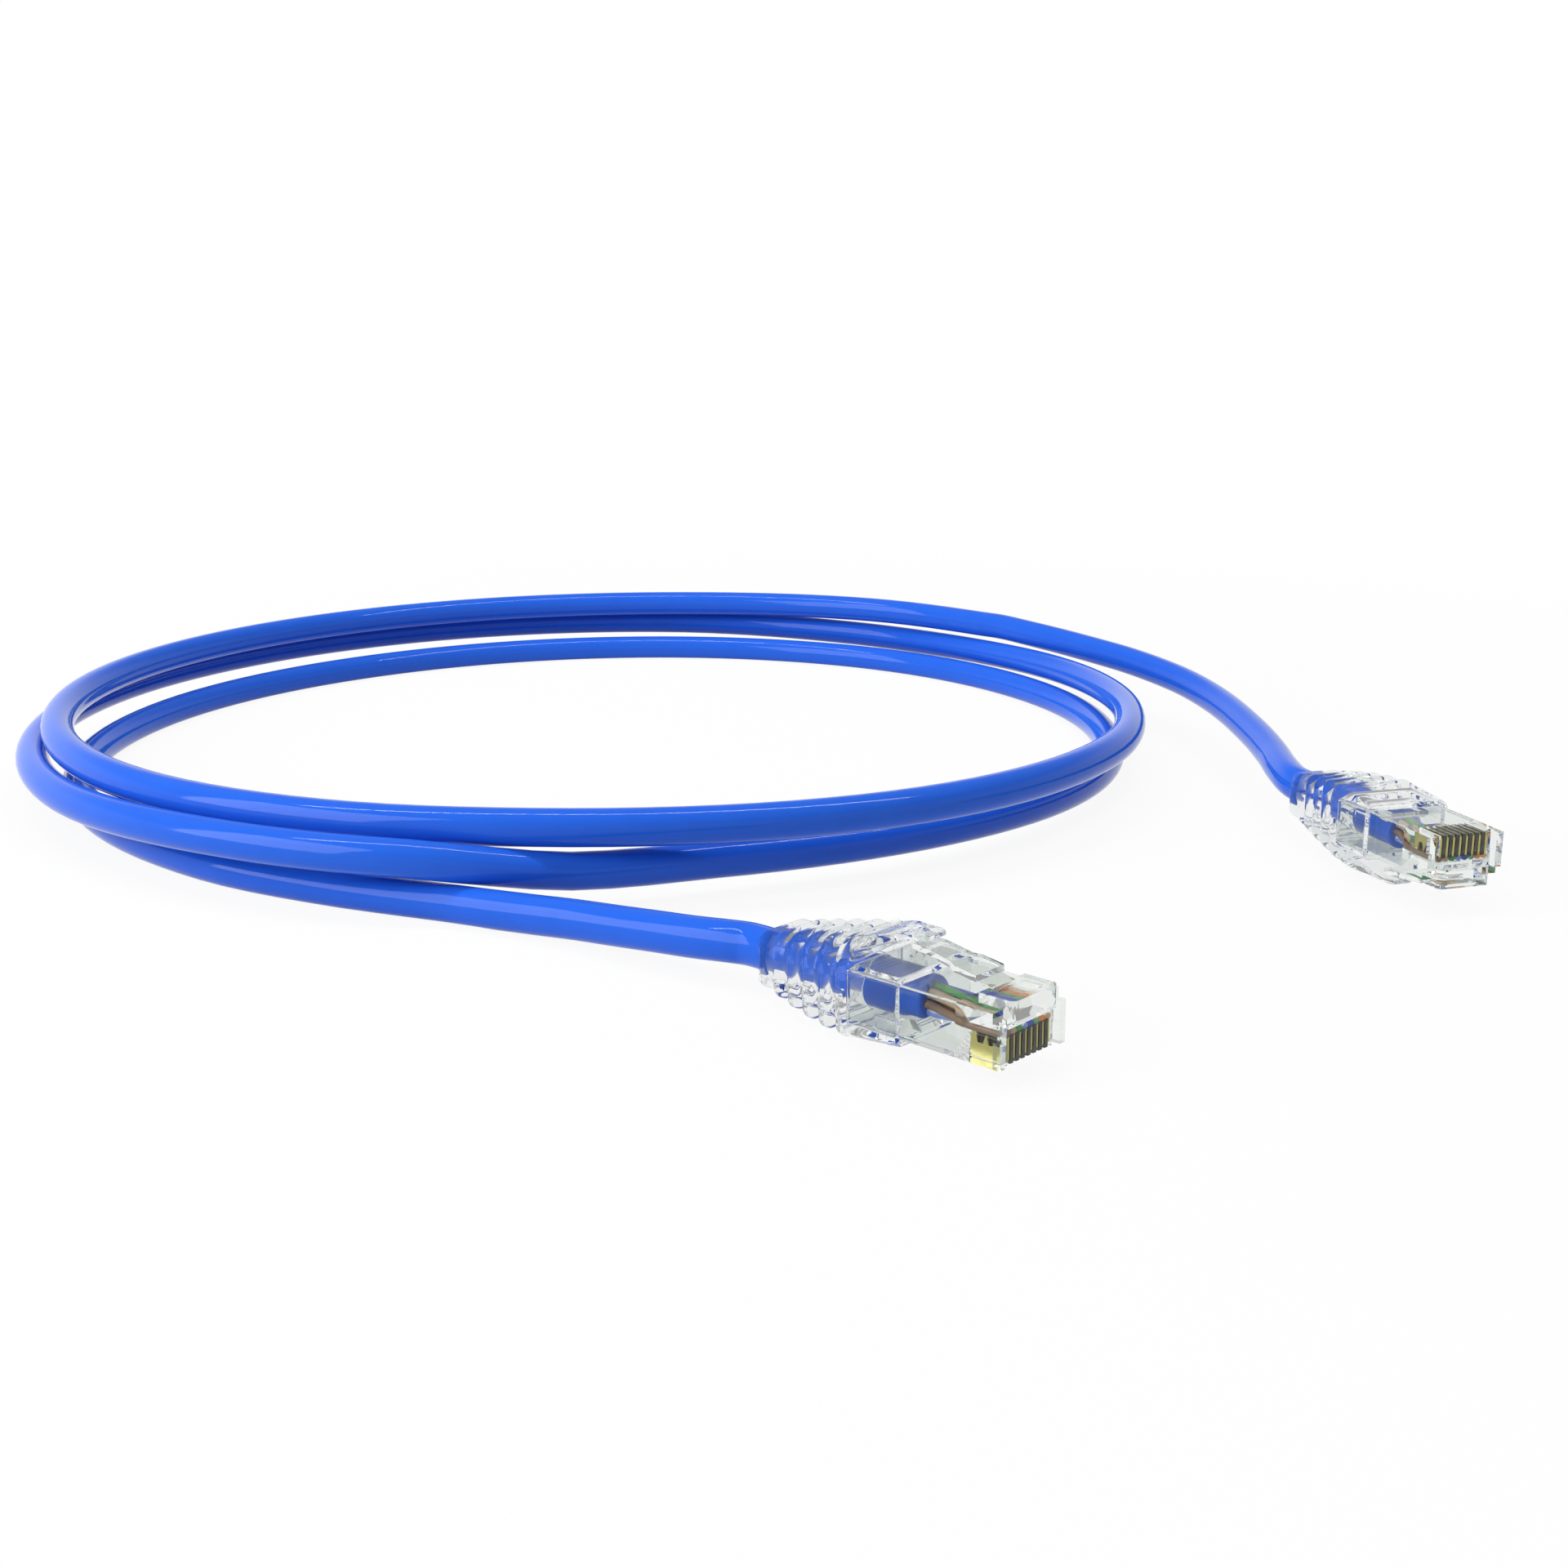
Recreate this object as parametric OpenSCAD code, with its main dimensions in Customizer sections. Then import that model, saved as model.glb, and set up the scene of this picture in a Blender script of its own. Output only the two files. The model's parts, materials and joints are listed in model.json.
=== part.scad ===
// Ethernet patch cable: a loosely coiled cord with a booted eight-contact plug at each end.
// Millimetres. The origin is the bottom centre of the whole cable's box, with +Z up.
// Each plug is drawn in its own frame: x from the housing's rear edge towards the nose,
// y across, z up from the contact face. It is then laid beside the coil.

/* [Cable] */
// Outer diameter of the round jacket
cable_d = 5.4; // [4.8:0.1:5.6]
// Mean radius of the coil
coil_r = 100; // [96:1:104]
// Air between neighbouring turns
lay_gap = 0.45; // [0.4:0.05:0.6]
// Diameter of one insulated conductor
wire_d = 0.95; // [0.85:0.01:0.98]
// Length of bare conductor between the jacket and the straight row
fan_l = 8.2; // [7:0.1:9]

/* [Plug housing] */
// Length of the side walls
housing_l = 21.5; // [21:0.1:22.5]
// Width over the side walls
housing_w = 11.7; // [11.2:0.1:12]
// Height of the body behind the nose
housing_h = 6.2; // [6.1:0.1:6.8]
// Length of the nose block
nose_l = 4.7; // [4.2:0.1:5.2]
// Width of the nose block
nose_w = 8.1; // [7.4:0.1:8.6]
// Height of the nose block's top over the contact face
nose_top = 7.35; // [7.1:0.05:7.8]
// How far the nose block stands out in front of the side walls
nose_out = 0.4; // [0.2:0.1:0.6]
// How far the comb face lies behind the side walls' front edges
comb_in = 0.5; // [0.3:0.1:0.8]
// Thickness of the side walls round the hollow
side_t = 0.8; // [0.7:0.05:0.9]
// Length of the pressed strain relief bar
clamp_l = 4.9; // [4:0.1:5]
// Width of the pressed strain relief bar
clamp_w = 6; // [5:0.1:7]

/* [Contacts] */
// Distance between neighbouring contacts
contact_pitch = 1.02; // [1.01:0.01:1.05]
// Thickness of one contact
contact_t = 0.35; // [0.3:0.01:0.4]
// Length of one contact
contact_l = 4.6; // [4.2:0.1:4.8]
// Height of a contact's tines over the contact face
contact_top = 3.15; // [3:0.05:3.3]
// Height of the middle of the straight row of conductors
row_z = 3.35; // [3.2:0.05:3.5]

/* [Latch] */
// Length of the lever from its hinge to its tail
latch_l = 11.6; // [10.6:0.1:12]
// Width of the lever over the locking shoulders
latch_w = 5; // [4.4:0.1:5.6]
// Width of the hinge neck
neck_w = 4; // [3:0.1:4.2]
// Thickness of the lever
latch_t = 0.8; // [0.6:0.05:0.9]
// Rise of the tail's top over the hinge axis
latch_rise = 2.75; // [2.5:0.05:2.8]
// Distance from the hinge to the locking shoulders
shoulder_x = 1.6; // [1.3:0.1:2]

/* [Boot] */
// Length of the ribbed tail behind the housing
boot_l = 15.7; // [15:0.1:17]
// Length of the plain collar at the tail's end
collar_l = 2.6; // [2.4:0.1:3]
// Number of ribs
rib_count = 5; // [4:1:5]
// Thickness of one rib
rib_t = 1.5; // [1.2:0.1:1.6]
// Width of the collar
collar_w = 8.8; // [8:0.1:10]
// Width of the rib next to the sleeve
rib_w = 13; // [12.4:0.1:13.4]
// How far the lowest rib reaches under the contact face
rib_low = 2; // [1.7:0.1:2.3]
// Height of the rib that carries the hood
rib_top = 9.7; // [9.5:0.1:10]
// Length of the sleeve over the housing
sleeve_l = 7.8; // [7:0.1:9]
// Wall of the sleeve
sleeve_t = 0.85; // [0.7:0.05:1]

/* [Hood] */
// Length of the hood from its hinge to its lip
hood_l = 8.4; // [7.8:0.1:8.6]
// Width of the hood's lip
hood_w = 4.7; // [4.2:0.1:5.4]
// Width of the hood's hinge
hood_root_w = 7.6; // [6.6:0.1:8]
// Width over the hood's flanks next to the ribs
flank_w = 12.2; // [11.4:0.1:12.6]
// Rise of the hood from its root to its lip
hood_rise = 1.3; // [1.2:0.05:1.5]
// Thickness of the hood's lip
hood_t = 0.65; // [0.55:0.05:0.75]
// Thickness of the hood's flanks
flank_t = 0.8; // [0.6:0.05:1]

/* [Fits] */
// Clearance round pieces that don't move
fit_gap = 0.05; // [0.02:0.01:0.08]
// Clearance round pieces that move
run_gap = 0.12; // [0.1:0.01:0.2]

/* [Hidden] */
$fn = 48;
eps = 0.01;
pins = 8;

// Lay of the cord: one step outwards or upwards is one diameter and its gap.
// Standing turns are pressed flat by a tenth of the diameter where they meet the floor.
pitch = cable_d + lay_gap;
floor_z = 0.4 * cable_d;
ring_step = 15;
lay_from = 45;
lay_to = 975;

// [angle in degrees, steps outwards from coil_r, steps up from the floor]
lay = [
    [45, -0.25, 1.75], [60, -0.15, 1.75], [90, -0.1, 1.65], [135, 0.1, 1.6],
    [180, 0.1, 1.6], [225, 0, 1.55], [250, -0.15, 1.58], [268, -0.25, 1.62],
    [300, -0.3, 1.55], [330, -0.85, 1.4], [350, -1.25, 1.25], [370, -1.25, 1.05],
    [395, -0.7, 0.8], [410, -0.2, 0.7], [425, 0.2, 0.7], [450, 0.6, 0.8],
    [520, 0.8, 0.85], [575, 0.8, 0.85], [598, 0.85, 1.05], [613, 0.92, 1.1],
    [619, 0.75, 1.04], [624, 0.33, 0.82], [630, -0.25, 0.56], [643, -1.1, 0.5],
    [665, -1.45, 0.45], [690, -1.7, 0.25], [715, -1.8, 0.05], [740, -1.55, 0],
    [780, -1.2, 0], [850, -1.1, 0], [890, -0.7, 0], [930, -0.3, 0],
    [950, -0.1, 0], [960, 0.08, 0], [968, 0.2, 0], [975, 0.4, 0]
];

// Point beside the coil: its angle round the coil, its distance outside coil_r, its height
function beside(ang, out, z) = [(coil_r + out) * cos(ang), (coil_r + out) * sin(ang), z];

// Places and headings of the plugs.
// Plug a stands latch up on its lowest rib, with its nose a little raised.
// Plug b lies latch down, just over its hood.
hood_top = rib_top + hood_rise;
turn_a = -44;
tilt_a = 1;
place_a = beside(-74.04, 47.3, rib_low * cos(tilt_a) + (rib_t - 0.2) * sin(tilt_a));
place_b = beside(-34.5, 40.5, hood_top + 0.1);
turn_b = -73.4;

// Lengthwise stations of a plug
wall_x = housing_l - 1;
comb_x = housing_l - comb_in;
nose_x = housing_l + nose_out;
hinge_x = nose_x - nose_l;
contact_x = comb_x - 0.1 - contact_l;
row_x = contact_x - 0.1;
jacket_in = row_x - fan_l;
wire_x = comb_x - 0.25;
// Heights of a plug
axis_z = housing_h / 2;
wall_top = housing_h - 1.2;
nose_low = wall_top - 0.3;
hinge_z = nose_top - 0.3;
hood_z = rib_top - 0.8;
collar_top = axis_z + cable_d / 2 + 1.1;
collar_low = axis_z - cable_d / 2 - 0.55;
row_w = (pins - 1) * contact_pitch + wire_d;
bore_r = cable_d / 2 + fit_gap;
room_w = housing_w - 2 * side_t;
pocket_w = row_w + 4 * fit_gap;

axis_a = [cos(turn_a) * cos(tilt_a), sin(turn_a) * cos(tilt_a), sin(tilt_a)];
up_a = [-cos(turn_a) * sin(tilt_a), -sin(turn_a) * sin(tilt_a), cos(tilt_a)];
axis_b = [cos(turn_b), sin(turn_b), 0];
boot_end_a = place_a - boot_l * axis_a + axis_z * up_a;
boot_end_b = place_b - boot_l * axis_b - [0, 0, axis_z];

// Origin of the part over the coil's centre: the middle of the box of everything
left_x = -coil_at(540).x + cable_d / 2;
back_y = coil_at(450).y + cable_d / 2;
right_x = place_b.x + axis_b.x * housing_l - axis_b.y * housing_w / 2;
front_y = place_a.y + axis_a.y * housing_l - cos(turn_a) * housing_w / 2;
centre = [(right_x - left_x) / 2, (back_y + front_y) / 2, 0];

// ---- routes ----

function unit(v) = v / norm(v);

function lay_slope(i, k) =
    let (a = max(i - 1, 0), b = min(i + 1, len(lay) - 1))
    (lay[b][k] - lay[a][k]) / (lay[b][0] - lay[a][0]);

function lay_row(ang) = max([for (i = [0 : len(lay) - 2]) if (lay[i][0] <= ang || i == 0) i]);

// Smooth value of column k of the lay at an angle
function lay_at(ang, k) =
    let (
        i = lay_row(ang),
        h = lay[i + 1][0] - lay[i][0],
        t = (ang - lay[i][0]) / h
    )
    (2 * t ^ 3 - 3 * t ^ 2 + 1) * lay[i][k] + (t ^ 3 - 2 * t ^ 2 + t) * h * lay_slope(i, k)
    + (3 * t ^ 2 - 2 * t ^ 3) * lay[i + 1][k] + (t ^ 3 - t ^ 2) * h * lay_slope(i + 1, k);

// Middle of the cord at an angle of the coil
function coil_at(ang) =
    let (r = coil_r + pitch * lay_at(ang, 1))
    [r * cos(ang), r * sin(ang), floor_z + pitch * lay_at(ang, 2)];

dir_from = unit(coil_at(lay_from) - coil_at(lay_from + 1));
dir_to = unit(coil_at(lay_to) - coil_at(lay_to - 1));
coil_from = coil_at(lay_from) + cable_d * dir_from;
coil_to = coil_at(lay_to) + cable_d * dir_to;

coil_path = concat(
    [coil_from],
    [for (ang = [lay_from : ring_step : lay_to]) coil_at(ang)],
    [coil_to]
);

// The leads leave the coil and reach the boots straight for one diameter
lead_a_path = concat(
    [coil_to, coil_to + cable_d * dir_to],
    [
        beside(-95.8, 6, 2.3), beside(-92, 9, 2.6), beside(-89, 12.2, 3), beside(-86.3, 16, 3.4),
        beside(-83.8, 20.2, 3.9), beside(-81.7, 24.1, 4.3), beside(-79.8, 27.6, 4.7)
    ],
    [boot_end_a - cable_d * axis_a, boot_end_a]
);
lead_b_path = concat(
    [coil_from, coil_from + cable_d * dir_from],
    [
        beside(34.2, -0.8, 12.1), beside(28.5, 0.5, 11.6), beside(22.9, 1.9, 11.2), beside(17.3, 3.9, 10.8),
        beside(11.6, 6, 10.3), beside(6.1, 7.8, 9.9), beside(0.3, 9.4, 9.5), beside(-5.4, 11, 9.2),
        beside(-11, 13, 8.9), beside(-16.3, 15.6, 8.6), beside(-21, 18.4, 8.3), beside(-24.9, 21.1, 8.1)
    ],
    [boot_end_b - cable_d * axis_b, boot_end_b]
);

// Least distance between the middles of two turns of the coil, on fine points
fine = [for (ang = [lay_from : 3 : lay_to]) coil_at(ang)];
gap = min([for (i = [0 : len(fine) - 1]) for (j = [i + 60 : 1 : len(fine) - 1]) norm(fine[i] - fine[j])]);
echo(least_gap_between_turns = gap - cable_d);

// Path of conductor k, counted from -y: from the jacket's end it fans out to its contact
fan_r = 1.45;
fan_deg = [180, 135, 90, 225, 45, 270, 315, 0];
function wire_y(k) = (k - (pins + 1) / 2) * contact_pitch;
function fall(t) = t < 0.5 ? 1 : 1 - (2 * t - 1) ^ 1.5;
function wire_path(k) =
    let (
        y0 = fan_r * cos(fan_deg[k - 1]),
        z0 = fan_r * sin(fan_deg[k - 1]),
        x0 = jacket_in + wire_d
    )
    concat(
        [[jacket_in, y0, axis_z + z0]],
        [for (t = [0 : 0.2 : 1]) [
            x0 + (row_x - x0) * t,
            y0 + (wire_y(k) - y0) * (1 - (1 - t) ^ 1.4),
            axis_z + (row_z - axis_z) * t + z0 * fall(t)
        ]],
        [[(row_x + wire_x) / 2, wire_y(k), row_z], [wire_x, wire_y(k), row_z]]
    );

// ---- shared shapes ----

// Middle direction of a path at point i, and its ring of n corners with a flat side down
function heading(p, i) =
    i == 0 ? unit(p[1] - p[0])
    : i == len(p) - 1 ? unit(p[i] - p[i - 1])
    : unit(unit(p[i + 1] - p[i]) + unit(p[i] - p[i - 1]));
function ring(p, i, r, n, low) =
    let (h = heading(p, i), s = unit(cross(h, [0, 0, 1])), u = cross(s, h))
    [for (j = [0 : n - 1])
        let (a = 270 + (j + 0.5) * 360 / n, q = p[i] + r * cos(a) * s + r * sin(a) * u)
        [q.x, q.y, max(q.z, low)]];

// Quarter round about y and z that starts at angle a
function corner(y, z, r, a) = [for (i = [0 : 6]) [y + r * cos(a + 15 * i), z + r * sin(a + 15 * i)]];

// Block from x0 to x1 with a rounded cross section from z0 to z1: radius r below and q on top
module section(x0, x1, w, z0, z1, r, q) {
    h = w / 2;
    translate([x0, 0, 0]) rotate([90, 0, 90]) linear_extrude(x1 - x0) polygon(concat(
        corner(h - r, z0 + r, r, 270), corner(h - q, z1 - q, q, 0),
        corner(q - h, z1 - q, q, 90), corner(r - h, z0 + r, r, 180)
    ));
}

// Solid through a row of equal rings of points, from the first to the last
module loft(rings) {
    n = len(rings[0]);
    m = len(rings);
    sides = [for (i = [0 : m - 2]) for (j = [0 : n - 1])
        let (a = i * n + j, b = i * n + (j + 1) % n)
        each [[a, b, b + n], [a, b + n, a + n]]];
    near_cap = [for (j = [1 : n - 2]) [0, j + 1, j]];
    far_cap = [for (j = [1 : n - 2]) [0, j, j + 1] + (m - 1) * n * [1, 1, 1]];
    polyhedron(points = [for (r = rings) each r], faces = concat(sides, near_cap, far_cap));
}

// Round tube along a path, as one solid of n sides that never goes under low
module tube(p, r, n, low) {
    loft([for (i = [0 : len(p) - 1]) ring(p, i, r, n, low)]);
}

// Side outline in x and z, w wide about the middle
module profile(w, pts) {
    translate([0, w / 2, 0]) rotate([90, 0, 0]) linear_extrude(w) polygon(pts);
}

module box(x0, x1, w, z0, z1) {
    translate([x0, -w / 2, z0]) cube([x1 - x0, w, z1 - z0]);
}

// Cylinder across the plug
module across(x, z, r, w) {
    translate([x, w / 2, z]) rotate([90, 0, 0]) cylinder(r = r, h = w);
}

module at_a() {
    translate(place_a - centre) rotate([0, -tilt_a, turn_a]) children();
}

module at_b() {
    translate(place_b - centre) rotate([0, 0, turn_b]) rotate([180, 0, 0]) children();
}

// ---- cord ----

module cable_coil() {
    color("royalblue") translate(-centre) tube(coil_path, cable_d / 2, 6, 0);
}

module cable_lead_a() {
    color("royalblue") translate(-centre) tube(lead_a_path, cable_d / 2, 12, 0);
}

module cable_lead_b() {
    color("royalblue") translate(-centre) tube(lead_b_path, cable_d / 2, 12, 0);
}

// Side outline of the bar that is pressed into the jacket
clamp_x = jacket_in + 0.6 - clamp_l;
clamp_outline = [
    [clamp_x, 0.1], [clamp_x + clamp_l, 0.1], [clamp_x + clamp_l, 1.1],
    [jacket_in, 1.1], [jacket_in, 1.5], [jacket_in - 1.6, 1.5], [clamp_x, 0.5]
];

module jacket_end() {
    color("royalblue") difference() {
        translate([-boot_l, 0, axis_z]) rotate([0, 90, 0]) cylinder(d = cable_d, h = boot_l + jacket_in);
        profile(clamp_w, clamp_outline);
    }
}

module clamp_bar() {
    color("whitesmoke") profile(clamp_w, clamp_outline);
}

// ---- conductors and contacts ----

wire_colors = [
    "saddlebrown", "tan", "green", "lightsteelblue",
    "mediumblue", "darkseagreen", "darkorange", "navajowhite"
];

module wire(k) {
    tube(wire_path(k), wire_d / 2, 8, -50);
}

// Blade with a pointed rear tine, a short middle tine and a square front post
module contact(k) {
    x0 = contact_x;
    x1 = contact_x + contact_l;
    color("gold") translate([0, wire_y(k), 0]) profile(contact_t, [
        [x0, 0.35], [x0 + 0.25, 0.1], [x1 - 0.35, 0.1], [x1, 0.45],
        [x1, contact_top - 0.1], [x1 - 0.3, contact_top], [x1 - 0.7, 1.8],
        [x1 - 2.1, 1.75], [x1 - 2.5, contact_top - 0.2], [x1 - 2.9, 1.75],
        [x0 + 1, 1.75], [x0 + 0.75, contact_top], [x0 + 0.15, contact_top - 0.2], [x0, 1.6]
    ]);
}

// ---- plug housing ----

// Hollow for the jacket and the fan of conductors, and the pocket of their straight row
module wire_room() {
    x0 = row_x - 1.2;
    box(-eps, x0, room_w, axis_z - bore_r, axis_z + bore_r);
    intersection() {
        linear_extrude(housing_h) polygon([
            [x0 - eps, -room_w / 2], [row_x - 0.6, -pocket_w / 2], [wire_x + fit_gap, -pocket_w / 2],
            [wire_x + fit_gap, pocket_w / 2], [row_x - 0.6, pocket_w / 2], [x0 - eps, room_w / 2]
        ]);
        profile(housing_w, [
            [x0 - eps, axis_z + bore_r], [row_x + 0.1, row_z + wire_d / 2 + 0.1],
            [wire_x + 1, row_z + wire_d / 2 + 0.1], [wire_x + 1, row_z - wire_d / 2 - 0.1],
            [row_x + 0.1, row_z - wire_d / 2 - 0.1], [x0 - eps, axis_z - bore_r]
        ]);
    }
}

// One slot of the comb, open at the bottom and in front
module contact_slot(k) {
    w = contact_t + 2 * fit_gap;
    translate([0, wire_y(k), 0]) {
        box(contact_x - fit_gap, comb_x + eps, w, -eps, contact_top + 0.1);
        translate([0, w / 2, 0]) rotate([90, 0, 0]) linear_extrude(w)
            polygon([[comb_x - 0.5, -eps], [comb_x + eps, -eps], [comb_x + eps, 0.5]]);
    }
}

// Nose block with round front corners and a shallow recess on top
module nose() {
    r = 0.9;
    difference() {
        union() {
            box(hinge_x, nose_x - r, nose_w, nose_low, nose_top);
            box(hinge_x, nose_x, nose_w - 2 * r, nose_low, nose_top);
            for (y = [-1, 1])
                translate([nose_x - r, y * (nose_w / 2 - r), nose_low])
                    cylinder(r = r, h = nose_top - nose_low);
        }
        box(hinge_x + 1.1, nose_x - 0.9, nose_w - 3, nose_top - 0.25, nose_top + 1);
        across(hinge_x, hinge_z, 0.3 + run_gap, neck_w + 4 * run_gap);
        box(hinge_x - 1, hinge_x, neck_w + 4 * run_gap, hinge_z, nose_top + 1);
    }
}

module housing() {
    slit_x = comb_x - 0.8;
    color("lightcyan", 0.5) difference() {
        union() {
            box(0, wall_x, housing_w, 0, housing_h);
            box(0, comb_x, nose_w + 0.4, 0, housing_h - 1);
            for (y = [-1, 1])
                translate([wall_x - 1, y == 1 ? housing_w / 2 - 1.1 : -housing_w / 2, 0])
                    cube([housing_l - wall_x + 1, 1.1, wall_top]);
            nose();
        }
        // Step beside the nose, and the face of the comb behind the side walls
        for (y = [-1, 1])
            translate([comb_x, y * (pocket_w / 2 + 0.35), 1]) cube([2, 0.7, 3.2], center = true);
        wire_room();
        for (k = [1 : pins]) contact_slot(k);
        // Side slits that free the outer walls of the comb
        for (y = [-1, 1])
            translate([slit_x, y * (pocket_w / 2 + 0.3) - 0.2, -eps]) cube([2, 0.4, 2.6]);
        // Window of the strain relief bar
        box(clamp_x - 0.1, jacket_in + 0.7, clamp_w, -eps, 1.6);
        // Pockets that the boot's pads lock into
        for (y = [-1, 1])
            translate([sleeve_l - 3.4, y * housing_w / 2 - 0.2, 0.5]) cube([3.1, 0.4, 1.5]);
    }
}

// ---- latch ----

module latch() {
    tail = hinge_x - latch_l;
    step = hinge_x - shoulder_x;
    top = hinge_z + latch_rise;
    w = latch_w;
    color("lightcyan", 0.5) union() {
        across(hinge_x, hinge_z, 0.3, neck_w);
        intersection() {
            profile(w, [
                [tail, top], [tail, top - latch_t + 0.15], [tail + 2.4, top - latch_t],
                [tail + 6.2, top - 0.8 - latch_t], [step, top - 1.35 - latch_t], [hinge_x, hinge_z - 0.3],
                [hinge_x, hinge_z + 0.3], [step, hinge_z + 0.65], [step, top - 1.35],
                [tail + 6.2, top - 0.8], [tail + 2.4, top - 0.05]
            ]);
            linear_extrude(20) polygon([
                [tail, -w / 2 + 1.1], [tail + 0.5, -w / 2 + 0.7], [tail + 6, -w / 2 + 0.5],
                [tail + 7, -w / 2], [step, -w / 2], [step, -neck_w / 2], [hinge_x, -neck_w / 2],
                [hinge_x, neck_w / 2], [step, neck_w / 2], [step, w / 2],
                [tail + 7, w / 2], [tail + 6, w / 2 - 0.5], [tail + 0.5, w / 2 - 0.7], [tail, w / 2 - 1.1]
            ]);
        }
    }
}

// ---- boot ----

// Ribs lie a little closer together towards the collar, and grow towards the sleeve
first_rib = -boot_l + collar_l + rib_t / 2 + 0.1;
last_rib = -rib_t / 2 - 0.1;
function rib_mid(i) =
    let (t = i / (rib_count - 1))
    first_rib + (last_rib - first_rib) * (0.9 * t + 0.1 * t * t);
function rib_u(i) = (i + 1) / rib_count;

// Rib i with soft edges: widest in its middle, and rounder on top towards the sleeve
module rib(i) {
    u = rib_u(i);
    w = collar_w + (rib_w - collar_w) * u;
    top = collar_top + (rib_top - collar_top) * u;
    low = collar_low - (rib_low + collar_low) * sin(90 * u);
    m = rib_mid(i);
    hull() {
        section(m - rib_t / 2, m + rib_t / 2, w - 0.6, low + 0.3, top - 0.3, 1.3, 1.4 + 1.3 * u);
        section(m - rib_t / 2 + 0.3, m + rib_t / 2 - 0.3, w, low, top, 1.5, 1.6 + 1.3 * u);
    }
}

module boot() {
    u = fit_gap * 2;
    inner_w = housing_w + 2 * u;
    outer_w = inner_w + 2 * sleeve_t;
    pivot_x = -0.2;
    color("lightcyan", 0.4) difference() {
        union() {
            // Collar and tapered core
            section(-boot_l, -boot_l + collar_l, collar_w, collar_low, collar_top, 1.5, 1.6);
            hull() {
                section(-boot_l + collar_l - 0.2, -boot_l + collar_l, collar_w - 1,
                    collar_low + 0.1, collar_top - 0.6, 1.4, 1.4);
                section(-0.2, 0, rib_w - 1.8, -u - sleeve_t + 0.2, housing_h + u + sleeve_t - 0.2, 1.4, 1.4);
            }
            for (i = [0 : rib_count - 1]) rib(i);
            hull() {
                section(-0.6, -0.4, outer_w, 0.3 - rib_low, housing_h + u + sleeve_t, 1.3, 1.3);
                section(sleeve_l - 0.2, sleeve_l, outer_w, -u - sleeve_t, housing_h + u + sleeve_t, 1.3, 1.3);
            }
        }
        // Bore for the jacket, and the room for the housing
        translate([-boot_l - 1, 0, axis_z]) rotate([0, 90, 0]) cylinder(r = bore_r, h = boot_l + 2);
        box(0, sleeve_l + 1, inner_w, -u, housing_h + u);
        // Slots that split every second rib at its sides
        for (i = [0 : 2 : rib_count - 1]) for (y = [-1, 1])
            translate([rib_mid(i), y * (collar_w / 2 + 1.7 * rib_u(i) + 1.7), axis_z + 0.35])
                cube([rib_t + 0.1, 4, 1.3], center = true);
        // Seat of the hood's hinge
        across(pivot_x, hood_z, 0.75 + run_gap, hood_root_w + 4 * run_gap);
        box(pivot_x, 2, hood_root_w + 4 * run_gap, housing_h + u + sleeve_t, 12);
    }
    // Pads that lock into the housing's side pockets
    color("lightcyan", 0.4) for (y = [-1, 1])
        translate([sleeve_l - 3.3, y * (inner_w / 2) - 0.2, 0.6]) cube([2.9, 0.4, 1.3]);
}

// Form of the hood: [share of its length, share of the flanks' extra width, drop of their lower edge]
hood_form = [
    [0.07, 1, 1.17], [0.14, 0.985, 1.24], [0.21, 0.93, 1.23], [0.28, 0.83, 1.12], [0.345, 0.7, 0.95],
    [0.41, 0.55, 0.75], [0.47, 0.42, 0.53], [0.54, 0.28, 0.32], [0.61, 0.17, 0.15], [0.68, 0.1, 0.05],
    [0.76, 0.04, 0], [0.86, 0, 0], [0.93, -0.06, 0], [0.975, -0.15, 0], [1, -0.25, 0]
];
hood_x = -0.2;
function hood_under(t) = hood_z - 0.55 + (hood_top - hood_t - hood_z + 0.55) * sin(90 * t);

// Ring of the hood's outer skin: straight flanks under a rounded top
function hood_ring(f) =
    let (
        x = hood_x + hood_l * f[0],
        h = hood_w / 2 + (flank_w - hood_w) / 2 * f[1],
        top = rib_top + hood_rise * sin(90 * f[0]),
        low = hood_under(f[0]) - f[2],
        q = min(0.5 + 2.1 * max(f[1], 0), top - low - 0.15)
    )
    [for (c = concat([[h, low]], corner(h - q, top - q, q, 0), corner(q - h, top - q, q, 90), [[-h, low]]))
        [x, -c.x, c.y]];

// Ring of the hollow under it
function hollow_ring(f) =
    let (
        x = hood_x + hood_l * f[0],
        h = hood_w / 2 + (flank_w - hood_w) / 2 * f[1] - flank_t,
        top = hood_under(f[0])
    )
    [[x, -h, 5], [x, -h, top], [x, h, top], [x, h, 5]];

// Springy hood over the latch's tail: a beak with a round hinge root and flanks down to the sleeve
module boot_hood() {
    first = hood_form[0];
    last = hood_form[len(hood_form) - 1];
    beyond = [0.02, 0, 0];
    color("lightcyan", 0.4) union() {
        across(hood_x, hood_z, 0.75, hood_root_w);
        box(hood_x, hood_x + 0.12 * hood_l, hood_root_w, hood_z - 0.55, rib_top);
        difference() {
            loft([for (f = hood_form) hood_ring(f)]);
            loft([for (f = concat([first - beyond], hood_form, [last + beyond])) hollow_ring(f)]);
            // Thumb dish
            translate([hood_x + hood_l - 1.9, 0, hood_top + 0.82]) rotate([0, 85, 0])
                cylinder(r = 1.05, h = 2.8, center = true);
        }
    }
}

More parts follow.
